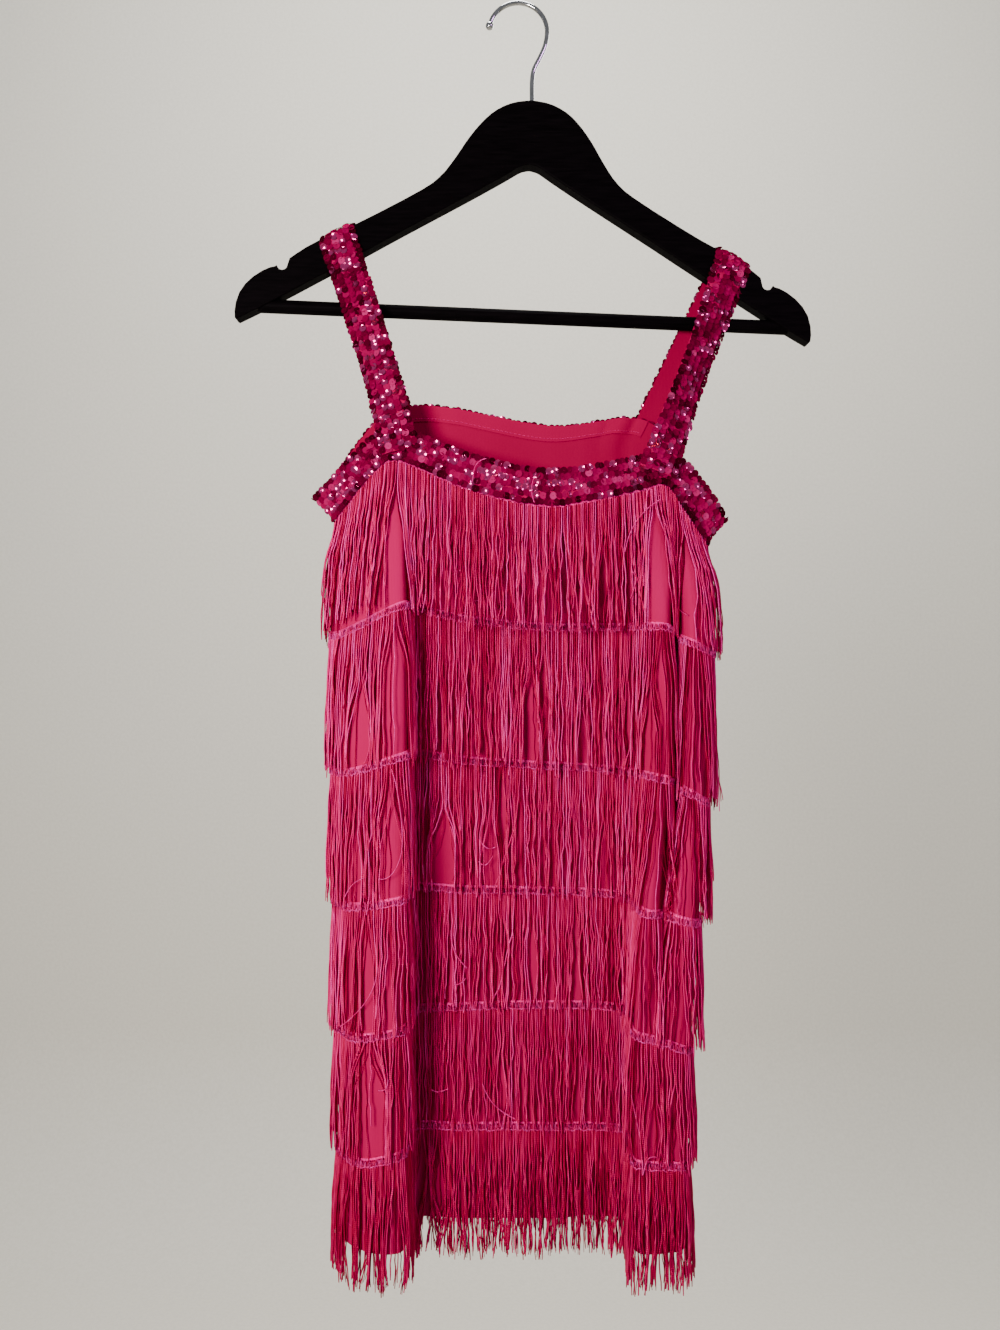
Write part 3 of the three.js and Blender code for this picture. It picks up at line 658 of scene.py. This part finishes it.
def add_camera():
    camera = bpy.data.objects.new("camera", bpy.data.cameras.new("camera"))
    camera.location = CAMERA["place"]
    camera.rotation_euler = (math.radians(90), 0, 0)
    camera.data.sensor_width = CAMERA["sensor"]
    camera.data.lens = CAMERA["lens"]
    bpy.context.scene.collection.objects.link(camera)
    bpy.context.scene.camera = camera


def add_light(name, place, target, size, power, colour):
    data = bpy.data.lights.new(name, "AREA")
    data.shape = "DISK"
    data.size = size
    data.energy = power
    data.color = colour
    light = bpy.data.objects.new(name, data)
    light.location = place
    light.visible_camera = False
    direction = Vector(target) - Vector(place)
    light.rotation_euler = direction.to_track_quat("-Z", "Y").to_euler()
    bpy.context.scene.collection.objects.link(light)


def add_stage():
    """A pale floor that curves up into a pale wall, well behind the dress."""
    turn = [
        (WALL_Y - TURN_RADIUS * (1 - math.sin(a)), FLOOR_Z + TURN_RADIUS * (1 - math.cos(a)))
        for a in np.linspace(0, math.pi / 2, TURN_STEPS)
    ]
    profile = [(FLOOR_FRONT, FLOOR_Z), *turn, (WALL_Y, WALL_TOP)]
    net = np.array([[(x, y, z) for y, z in profile] for x in (-STAGE_HALF, STAGE_HALF)])
    columns, rows = net.shape[:2]
    faces = net_quads(np.arange(columns * rows).reshape(columns, rows))
    backdrop = new_object("backdrop", net.reshape(-1, 3), faces, WALL)


def add_lights():
    world = bpy.data.worlds.new("studio")
    world.use_nodes = True
    background = world.node_tree.nodes["Background"].inputs
    background["Color"].default_value = (*WORLD_COLOUR, 1)
    background["Strength"].default_value = WORLD_STRENGTH
    bpy.context.scene.world = world
    for light in LIGHTS:
        add_light(*light)


# ---------------------------------------- cloth pieces

PANEL_ROWS = 97
FACING_FOOT = 7.5  # the level of the facing's lower edge


def add_shell(name, outer, inner, slot, replaces, outer_painted_light=1.0):
    """A thin cloth piece. Its outer side gets this much of the lighter colour and its inner side the
    rest: painted shade on the insides, partly the knit's duller reverse.
    """
    points, faces = shell(outer, inner)
    face = np.repeat([outer_painted_light, 1 - outer_painted_light], len(points) // 2)
    return add_mesh(name, points, faces, PINK, slot, replaces, crisp=50, face=face)


def add_panels():
    made = []
    for name, first, last in (("front_panel", 0, 9), ("back_panel", 9, 15)):
        columns = (last - first) * PER_SPAN // 2 + 1
        outer, inner = (
            cloth_net(first, last, 0, TOP, columns, PANEL_ROWS, out, inset=0.004)
            for out in (0, -CLOTH_THICK)
        )
        made.append(add_shell(name + "_cloth", outer, inner, "cloth", [name]))
    return made


def add_facing():
    """The facing inside the back's neck; the side that shows is its inner one."""
    columns = 2 * PER_SPAN + 1
    outer, inner = (
        cloth_net(11, 13, FACING_FOOT, TOP, columns, 9, out, inset=0.01)
        for out in (-CLOTH_THICK - FACING_GAP, -CLOTH_THICK - FACING_GAP - FACING_THICK)
    )
    name = "back_neck_facing"
    # Painted shade: the facing's showing side is darker than the cloth's outer face.
    return add_shell(name + "_cloth", outer, inner, "cloth", [name], outer_painted_light=0.7)


def sequin_rows(net, inset):
    """Places and frames for sequins on net[along, across]: rows, each overlapping the next."""
    normals = net_normals(net)
    along = unit(np.gradient(net, axis=0))
    middle = net[:, net.shape[1] // 2]
    lengths = np.concatenate([[0], np.cumsum(np.linalg.norm(np.diff(middle, axis=0), axis=1))])
    count = int(lengths[-1] / SEQUIN_PITCH)
    shares = (np.arange(count) + 0.5) / count
    placed = []
    for row in range(SEQUIN_ROWS):
        across = inset + (1 - 2 * inset) * row / (SEQUIN_ROWS - 1) + rng.normal(0, 0.012, count)
        shift = (row % 2 - 0.5) * 0.5 / count + rng.normal(0, 0.12 / count, count)
        at = np.interp((shares + shift) * lengths[-1], lengths, np.arange(len(lengths)))
        placed.append(np.stack([at, np.clip(across, 0, 1) * (net.shape[1] - 1)], -1))
    at, across = np.concatenate(placed).T
    pick = [flat_sample(field, at, across) for field in (net, normals, along)]
    return pick[0], unit(pick[1]), unit(pick[2])


def flat_sample(field, at, across):
    """A net[along, across, axis] between its points."""
    i = np.clip(np.floor(at), 0, field.shape[0] - 2).astype(int)
    j = np.clip(np.floor(across), 0, field.shape[1] - 2).astype(int)
    a, b = (at - i)[:, None], (across - j)[:, None]
    low = field[i, j] * (1 - a) + field[i + 1, j] * a
    high = field[i, j + 1] * (1 - a) + field[i + 1, j + 1] * a
    return low * (1 - b) + high * b


def add_sequins(name, net, inset):
    """Cupped round sequins, sewn on in overlapping rows that lean along the trim."""
    centre, normal, along = sequin_rows(net, inset)
    count = len(centre)
    across = np.cross(normal, along)
    lean = rng.normal(0.12, 0.2, (count, 1))
    roll = rng.normal(0, 0.2, (count, 1))
    face = unit(normal + along * lean + across * roll)
    first = unit(along - face * (along * face).sum(1, keepdims=True))
    second = np.cross(face, first)
    angles = 2 * np.pi * np.arange(SEQUIN_SIDES) / SEQUIN_SIDES + rng.uniform(0, 1, (count, 1))
    ring = np.cos(angles)[..., None] * first[:, None] + np.sin(angles)[..., None] * second[:, None]
    lift = rng.uniform(0.2, 0.9, (count, 1))
    points = []
    for share, height in SEQUIN_CUP:
        middle = centre + normal * lift + face * height * SEQUIN_RADIUS
        points.append(middle[:, None] + ring * SEQUIN_RADIUS * share)
    points = np.stack(points, 1)
    faces = ring_quads(np.arange(points.size // 3).reshape(points.shape[:3]))[:, ::-1]
    row = np.arange(count) // (count // SEQUIN_ROWS)
    # Painted shade: the sequins of the outer rows are darkened, where the trim's edges turn away from
    # the light and overhang.
    shaded_edge = (row == 0) | (row == SEQUIN_ROWS - 1)
    corners = len(SEQUIN_CUP) * SEQUIN_SIDES
    shade = np.clip(rng.normal(0.48, 0.2, count) - 0.3 * shaded_edge, 0, 0.85)
    flash = rng.random(count) < SEQUIN_FLASHES
    shade, flash = (np.repeat(own, corners) for own in (np.where(flash, 1.0, shade), flash))
    points = points.reshape(-1, 3)
    return add_mesh(name, points, faces, SEQUINS, "sequin_trim", crisp=35, shade=shade, flash=flash)


def add_trim(name, nets, inset):
    """A trim from its outer, inner and sequin nets: the backing, and the sequins over it."""
    outer, inner, sewn = nets
    backing = add_shell(name + "_backing", outer, inner, "sequin_trim", [name])
    return backing, add_sequins(name + "_sequins", sewn, inset)


def add_bands():
    made = []
    for name, first, last in BANDS:
        columns = (last - first) * PER_SPAN // 2 + 1
        nets = [
            cloth_net(first, last, BAND, TOP, columns, 9, out, inset=0.015)
            for out in BAND_OUT
        ]
        made.append(add_trim(name, nets, inset=0.03))
    return made


def hanger_point(distance, rise):
    """x and z of a point so far along the tilted hanger from its crown, and so far above it."""
    cos, sin = math.cos(HANGER_TILT), math.sin(HANGER_TILT)
    return CROWN[0] + distance * cos + rise * sin, CROWN[1] - distance * sin + rise * cos


def strap_net(strap, out, along_steps=120, across_steps=9):
    """net[along, across] of a strap: up the front, over the hanger's arm and down the back."""
    name, side, on_arm, rise, front, back = strap
    arm_x, arm_z = hanger_point(side * on_arm, rise)
    over = HANGER_THICK / 2 + STRAP_OVER
    front_turn = [(arm_x, -over * aside, arm_z + STRAP_ABOVE * up) for aside, up in STRAP_TURN]
    back_turn = [(x, -y, z) for x, y, z in front_turn]
    turn = np.array([*front_turn, *back_turn[::-1]], float)
    shares = np.arange(STRAP_STEPS)[:, None] / STRAP_STEPS
    up = front + (turn[0] - front) * shares
    down = (back + (turn[-1] - back) * shares)[::-1]
    line = np.concatenate([up, turn, down])
    steps = np.linalg.norm(np.diff(line, axis=0), axis=1)
    lengths = np.concatenate([[0], np.cumsum(steps)])
    at = np.interp(np.linspace(0, lengths[-1], along_steps), lengths, np.arange(len(line)))
    front_wave = np.sin(math.pi * np.clip(at / STRAP_STEPS, 0, 1))
    middle = curve(line, at)
    middle[:, 0] += STRAP_BOW[name] * front_wave
    forward = unit(np.gradient(middle, axis=0))
    share = np.clip(np.minimum(at, len(line) - 1 - at) / STRAP_STEPS, 0, 1)
    lean = STRAP_END_LEAN + (ARM_SLOPE + side * HANGER_TILT - STRAP_END_LEAN) * share
    across = np.stack([-np.cos(lean), 0 * lean, side * np.sin(lean)], -1)
    across = unit(across - forward * ((across * forward).sum(1) * (1 - share))[:, None])
    normal = unit(np.cross(forward, across))
    twist = side * math.radians(STRAP_TWIST[name]) * front_wave[:, None]
    across, normal = (
        across * np.cos(twist) + normal * np.sin(twist),
        normal * np.cos(twist) - across * np.sin(twist),
    )
    aside = np.linspace(-0.5, 0.5, across_steps) * STRAP_WIDTH
    crown = -STRAP_CROWN * np.linspace(-1, 1, across_steps) ** 2
    return (
        middle[:, None]
        + across[:, None] * aside[None, :, None]
        + normal[:, None] * (out + crown)[None, :, None]
    )


def add_straps():
    made = []
    for strap in STRAPS:
        nets = [strap_net(strap, out) for out in STRAP_OUT]
        made.append(add_trim(strap[0], nets, inset=0.045))
    return made


# ---------------------------------------- fringe


def tape_z(level, column):
    """The height of a fringe tape's middle."""
    below = TAPE_HEIGHT / 2 + 0.9 if level == BAND else 0.0
    return sample(cloth, level * PER_SPAN, column)[..., 2] - below


def arc_of(level):
    """Distance round the cloth in plan along a level line, at each column, and all the way round."""
    columns = np.arange(COLUMNS)
    ring = at_height(slices, tape_z(level, columns), columns)
    steps = np.linalg.norm(np.roll(ring, -1, axis=0) - ring, axis=1)
    return np.concatenate([[0], np.cumsum(steps)])


def partings_of(tier, arcs):
    """Where the strands of a tier part, as distance round, half width, from z, to z."""
    level = TIERS[tier]
    found = []
    columns = np.arange(9 * PER_SPAN)
    ring = at_height(slices, tape_z(level, columns), columns)
    for number, x, width, top, bottom in PARTINGS:
        if number == tier + 1:
            nearest = int(np.argmin(np.abs(ring[:, 0] - x)))
            found.append((arcs[nearest], width / 2, top, bottom))
    z = float(tape_z(level, 0.0))
    front_end = arcs[9 * PER_SPAN]
    for kind, start, end in ((SIDE_PARTINGS, front_end, arcs[-1]), (FRONT_PARTINGS, 0, front_end)):
        for _ in range(kind["count"]):
            top = z - rng.uniform(*kind["below"])
            middle = rng.uniform(start, end)
            half = rng.uniform(*kind["half"])
            found.append((middle, half, top, top - rng.uniform(*kind["long"])))
    return found


def parted(root, position, z, partings):
    """How far strands are pushed aside at a distance round and a height, to their roots' side."""
    push = np.zeros_like(position)
    for middle, half, top, bottom in partings:
        toward = np.sign(root - middle)
        away = np.maximum((position - middle) * toward, 0)
        reach = half + PARTING_MARGIN
        open_here = smooth_step((top + 14 - z) / PARTING_RAMP) * smooth_step((z - bottom + 26) / 24)
        near = np.abs(root - middle) < reach
        push += toward * half * np.clip(1 - away / reach, 0, None) * open_here * near
    return push


def hang(root_column, root_z, end_z, along, out, clear, partings, arc, parts, late):
    """Threads that fall from their roots over the cloth: paths[thread, step, axis]."""
    threads, steps = along.shape
    xy = at_height(slices, root_z, root_column)
    facing = unit(at_height(slice_out, root_z, root_column))
    tangent = np.stack([-facing[:, 1], facing[:, 0]], -1)
    base = xy + facing * clear[:, :1]
    column = np.round(root_column).astype(int) % COLUMNS
    near = np.arange(-5, 6)  # columns to each side among which the cloth is looked for
    paths = np.empty((threads, steps, 3))
    for step in range(steps):
        z = root_z + (end_z - root_z) * step / (steps - 1)
        aside = along[:, step] + parts * parted(arc, arc + along[:, step], z + late, partings)
        place = base + tangent * aside[:, None] + facing * out[:, step, None]
        level = np.clip(np.round((z - heights[0]) / SLICE), 0, len(heights) - 1).astype(int)
        candidates = (column[:, None] + near) % COLUMNS
        gaps = np.linalg.norm(slices[level[:, None], candidates] - place[:, None], axis=-1)
        column = candidates[np.arange(threads), np.argmin(gaps, axis=1)]
        normal = slice_out[level, column]
        off = ((place - slices[level, column]) * normal).sum(1)
        push = normal * np.maximum(clear[:, step] - off, 0)[:, None]
        place = place + push
        base = base + push
        paths[:, step, :2] = place
        paths[:, step, 2] = z
    return paths


def clumps(count):
    """The clump that each strand of a row belongs to."""
    sizes = rng.integers(*CLUMP_SIZE, count)
    return np.repeat(np.arange(count), sizes)[:count]


def tier_paths(tier):
    """The strands of a tier, and which of its two layers each lies in."""
    level = TIERS[tier]
    arcs = arc_of(level)
    count = STRANDS[tier]
    arc = (np.arange(count) + 0.5) / count * arcs[-1] + rng.uniform(-0.3, 0.3, count)
    column = np.interp(arc, arcs, np.arange(COLUMNS + 1))
    root_z = tape_z(level, column) + rng.uniform(1.2, 2.4, count)
    clump = clumps(count)
    total = clump.max() + 1
    middle = np.bincount(clump, arc) / np.bincount(clump)
    share = np.linspace(0, 1, STRAND_STEPS)[None, :]

    def of_clump(draw, low, high):
        """One random value for each clump, given to all its strands."""
        return draw(low, high, total)[clump][:, None]

    # Strands of a clump draw together, drift aside as one and sway in slow waves.
    gather = of_clump(rng.uniform, *GATHER)
    drift = of_clump(rng.normal, 0, CLUMP_DRIFT) + rng.normal(0, STRAND_DRIFT, (count, 1))
    wander = of_clump(rng.uniform, *CLUMP_WAVE)
    phase = of_clump(rng.uniform, 0, 6.3)
    turns = of_clump(rng.uniform, *CLUMP_TURNS)
    own_phase = rng.uniform(0, 6.3, (count, 1))
    own_turns = rng.uniform(*STRAND_TURNS, (count, 1))
    loosen = smooth_step(share * 2.5)
    along = (
        (middle[clump] - arc)[:, None] * gather * smooth_step(share * 1.2)
        + drift * share**1.5
        + wander * np.sin(turns * 6.3 * share + phase) * loosen
        + STRAND_WAVE * np.sin(own_turns * 6.3 * share + own_phase) * loosen
        + rng.normal(0, STRAND_KINK, (count, STRAND_STEPS)) * loosen
    )
    # A few strands stray far from their clump.
    stray = (rng.random((count, 1)) < STRAY_SHARE) * rng.normal(0, STRAY_FAR, (count, 1))
    along += stray * share**2
    layer = np.diff(np.floor(np.arange(count + 1) * OUTER_SHARE))
    outer = layer[:, None]
    near_end = smooth_step((share - 0.55) / 0.45)
    clear = TAPE_OUT + 0.8 + outer * 0.3 + (outer * 1.5 - 0.9 * (1 - outer)) * loosen
    clear = clear + rng.uniform(0, 0.9, (count, 1)) * loosen + near_end * 0.9
    out = 0.6 * np.sin(turns * 5 * share + own_phase) * loosen + 2.0 * share * outer
    if tier + 1 < len(TIERS):
        end = tape_z(TIERS[tier + 1], column) - 1.8 + 0.7 * tier
    else:
        end = np.full(count, FRINGE_END + 6.0)
    uneven = rng.normal(0, CLUMP_END, total)[clump] + rng.normal(0, STRAND_END, count)
    short = (rng.random(count) < SHORT_SHARE) * rng.uniform(*SHORT_BY, count)
    end_z = np.maximum(end + np.clip(uneven, -END_MOST, END_MOST) + short, FRINGE_END)
    parts = rng.random(count) > STAYS_SHARE
    late = rng.normal(0, 7, count)
    partings = partings_of(tier, arcs)
    return hang(column, root_z, end_z, along, out, clear, partings, arc, parts, late), layer


def add_tier(tier):
    """All the strands of a tier, as one piece with a shade for each strand."""
    paths, layer = tier_paths(tier)
    count = len(paths)
    radius = np.where(layer > 0, STRAND_RADIUS["outer"], STRAND_RADIUS["inner"])
    radius = radius[:, None] * rng.uniform(0.8, 1.15, (count, 1)) * np.ones((1, STRAND_STEPS))
    radius[:, -1] *= 0.75
    points, faces = tubes(paths, radius)
    # Each strand's shade is a random tone, made lighter in the outer layer and darker in the inner one
    # as painted light and shade, then moved by its tier's painted shade and spread.
    own = rng.normal(0, 0.15, count) + 0.4 * (layer - OUTER_SHARE)
    own = np.clip(TIER_PAINTED_SHADE[tier] + own * TIER_PAINTED_CONTRAST[tier], 0, 1)
    values = {"shade": np.repeat(own, STRAND_STEPS * STRAND_SIDES)}
    drop = np.linalg.norm(np.diff(paths, axis=1), axis=2).cumsum(1)
    values["along"] = np.repeat(np.pad(drop, ((0, 0), (1, 0))).ravel(), STRAND_SIDES)
    name = f"fringe_tier_{tier + 1}"
    return add_mesh(name + "_strands", points, faces, YARN, "fringe_yarn", [name], **values)


def add_heading(tier):
    """The tape that a tier hangs from, with the zigzag that is sewn over its strands."""
    level = TIERS[tier]
    column = np.arange(0, COLUMNS, 2.0)
    rise = np.linspace(-0.5, 0.5, 5) * TAPE_HEIGHT
    tape_rows = tape_z(level, column)[:, None] + rise[None, :]
    faces_at = [over_cloth(tape_rows, column[:, None], out) for out in (TAPE_OUT, TAPE_BACK)]
    tape = shell(*faces_at, closed=True)
    arcs = arc_of(level)
    threads = []
    # The top tier's tape lies under the sequin band, and has no zigzag.
    for middle, height, pitch, radius in HEADING_ROWS if level != BAND else []:
        arc = np.arange(0, arcs[-1], pitch)
        at = np.interp(arc, arcs, np.arange(COLUMNS + 1))
        z = tape_z(level, at) + middle + height * (np.arange(len(arc)) % 2 - 0.5)
        z += rng.normal(0, 0.55, len(arc))
        out = TAPE_OUT + 1.6 + rng.uniform(-0.3, 0.35, len(arc))
        threads.append(tubes(over_cloth(z, at, out)[None], radius))
    points, faces = joined([tape, *threads])
    stitches = (len(points) - len(tape[0])) // STRAND_SIDES
    values = {"shade": np.full(len(points), 0.5), "along": points[:, 0] + points[:, 1]}
    values["shade"][len(tape[0]):] = np.repeat(rng.uniform(0.4, 1.0, stitches), STRAND_SIDES)
    name = f"fringe_heading_{tier + 1}"
    return add_mesh(name, points, faces, HEADING, "fringe_yarn", **values)


def add_loose_threads():
    """Single threads that lie across the fringe of the front."""
    parts = []
    front = np.arange(9 * PER_SPAN)
    steps = 28
    for points in LOOSE_THREADS:
        knots = np.array(points, float)
        if len(knots) == 2:
            bowed = knots.mean(0) + (knots[1] - knots[0])[::-1] * (0.12, -0.12)
            knots = np.array([knots[0], bowed, knots[1]])
        before = 3 * knots[0] - 3 * knots[1] + knots[2]
        after = 3 * knots[-1] - 3 * knots[-2] + knots[-3]
        flat = curve(np.array([before, *knots, after]), np.linspace(1, len(knots), steps))
        level = np.clip(np.round((flat[:, 1] - heights[0]) / SLICE), 0, len(heights) - 1).astype(int)
        nearest = np.argmin(np.abs(slices[level][:, front, 0] - flat[:, :1]), axis=1)
        # The depth of the cloth's front there, smoothed so that the thread spans small hollows.
        y = slices[level, nearest, 1]
        wide = np.pad(np.minimum(np.minimum(y, np.roll(y, 2)), np.roll(y, -2)), 5, mode="edge")
        y = np.convolve(wide, np.ones(11) / 11, mode="valid") - LOOSE_OUT
        parts.append(tubes(np.stack([flat[:, 0], y, flat[:, 1]], -1)[None], LOOSE_RADIUS))
    points, faces = joined(parts)
    # Painted highlight: the loose threads get a light shade for the light they catch, lying out in front
    # of the fringe.
    values = {"shade": np.full(len(points), 0.9), "along": points[:, 2]}
    return add_mesh("loose_threads", points, faces, YARN, "fringe_yarn", **values)


def add_stitches():
    """The stitch lines of the hem and of the neck facing."""
    parts = []
    arcs = arc_of(1)
    starts = np.arange(0, arcs[-1], STITCH_PITCH)
    spans = np.stack([starts, starts + STITCH_PITCH * STITCH_SHARE], 1)
    at = np.interp(spans, arcs, np.arange(COLUMNS + 1))
    hem_line = over_cloth(np.full(at.shape, HEM + HEM_TURN), at, 0.15)
    parts.append(tubes(hem_line, STITCH_RADIUS))
    columns = np.linspace(11.05 * PER_SPAN, 12.95 * PER_SPAN, 70)
    pairs = np.stack([columns, columns + 0.45], 1)
    row = np.full(pairs.shape, (FACING_FOOT + 0.09) * PER_SPAN)
    inside = sample(cloth, row, pairs) - sample(cloth_normals, row, pairs) * (CLOTH_THICK + 1.15)
    parts.append(tubes(inside, STITCH_RADIUS))
    points, faces = joined(parts)
    values = {"shade": np.full(len(points), 0.35), "along": points[:, 0]}
    return add_mesh("seam_stitches", points, faces, HEADING, "fringe_yarn", **values)


# ---------------------------------------- hanger


def add_hook():
    """The hook's wire and the ball at its tip."""
    radius = HOOK_ARC["radius"]
    angles = np.radians(np.linspace(HOOK_ARC["from"], HOOK_ARC["to"], HOOK_ARC["points"]))
    arc = [
        (HOOK_ARC["x"] + radius * math.cos(a), WIRE_RADIUS - radius + radius * math.sin(a))
        for a in angles
    ]
    knots = np.array([(x, 0, z) for x, z in [*arc, *HOOK_NECK]], float)
    path = curve(knots, np.linspace(0, len(knots) - 1, HOOK_STEPS))
    wire = tubes(path[None], WIRE_RADIUS, sides=HOOK_SIDES)
    down = np.linspace(0.02, math.pi - 0.02, BALL_ROWS)
    rows, around = np.meshgrid(down, 2 * np.pi * np.arange(BALL_SIDES) / BALL_SIDES, indexing="ij")
    ball = np.stack([np.sin(rows) * np.cos(around), np.sin(rows) * np.sin(around), np.cos(rows)], -1)
    points = ball.reshape(-1, 3) * HOOK_BALL + knots[0]
    faces = ring_quads(np.arange(BALL_ROWS * BALL_SIDES).reshape(BALL_ROWS, BALL_SIDES))
    points, faces = joined([wire, (points, faces)])
    return add_mesh("hook_wire", points, faces, CHROME, "hook_chrome", ["hanger_hook"])


def finish_hanger():
    """The body and the bar keep their CAD solids, in black wood."""
    for name in ("hanger_body", "hanger_bar"):
        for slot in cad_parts[name].material_slots:
            slot.material = WOOD


# ---------------------------------------- the whole


def main():
    add_camera()
    add_stage()
    add_lights()
    front, back = add_panels()
    facing = add_facing()
    bands = add_bands()
    straps = add_straps()
    headings = [add_heading(tier) for tier in range(len(TIERS))]
    tiers = [add_tier(tier) for tier in range(len(TIERS))]
    add_loose_threads()
    add_stitches()
    add_hook()
    finish_hanger()


main()
